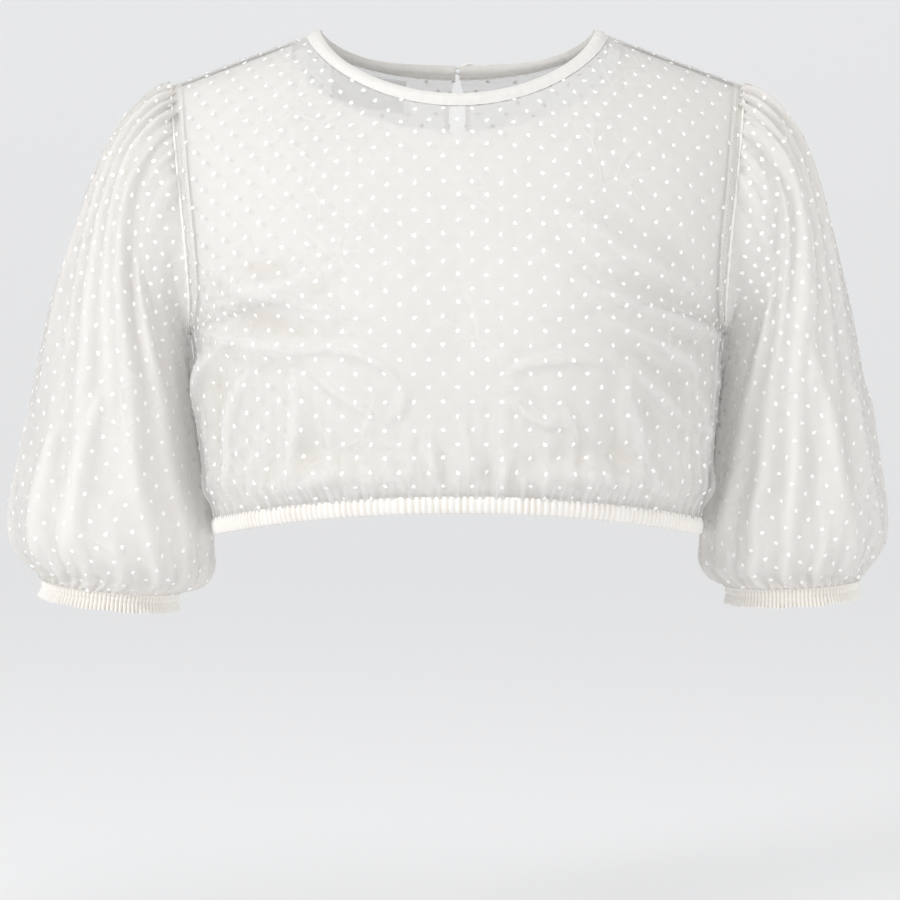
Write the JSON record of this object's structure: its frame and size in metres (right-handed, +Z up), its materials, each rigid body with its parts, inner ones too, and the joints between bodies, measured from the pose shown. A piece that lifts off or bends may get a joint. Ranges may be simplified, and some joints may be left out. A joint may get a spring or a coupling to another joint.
{
  "type": "dirndl blouse",
  "caption": "Cropped dirndl blouse of sheer dotted tulle with puff sleeves gathered to elastic cuffs, a bound round neck, an opaque body lining and an elastic hem.",
  "frame": {"origin": "middle of the neck opening, level with the tops of the shoulders, where the wearer holds the blouse up", "axes": "+Z up, -Y the front, +X the wearer's left, across the width over both sleeves"},
  "size_m": [0.5775, 0.2295, 0.3841],
  "materials": {
    "dotted_tulle": "sheer ivory net with raised dots",
    "lining_cloth": "opaque cream, matte",
    "binding_cloth": "ivory, faint sheen",
    "elastic_casing": "cream, gathered",
    "label_satin": "white satin, bare",
    "button_shell": "pearly"
  },
  "bodies": {
    "root": {"front": "dotted_tulle", "back_left": "dotted_tulle", "back_right": "dotted_tulle", "sleeve_left": "dotted_tulle", "sleeve_right": "dotted_tulle", "cuff_left": "elastic_casing", "cuff_right": "elastic_casing", "hem_band": "elastic_casing", "neck_binding": "binding_cloth", "lining_front": "lining_cloth", "lining_back": "lining_cloth", "label": "label_satin", "button": "button_shell", "button_loop": "binding_cloth"}
  },
  "joints": []
}
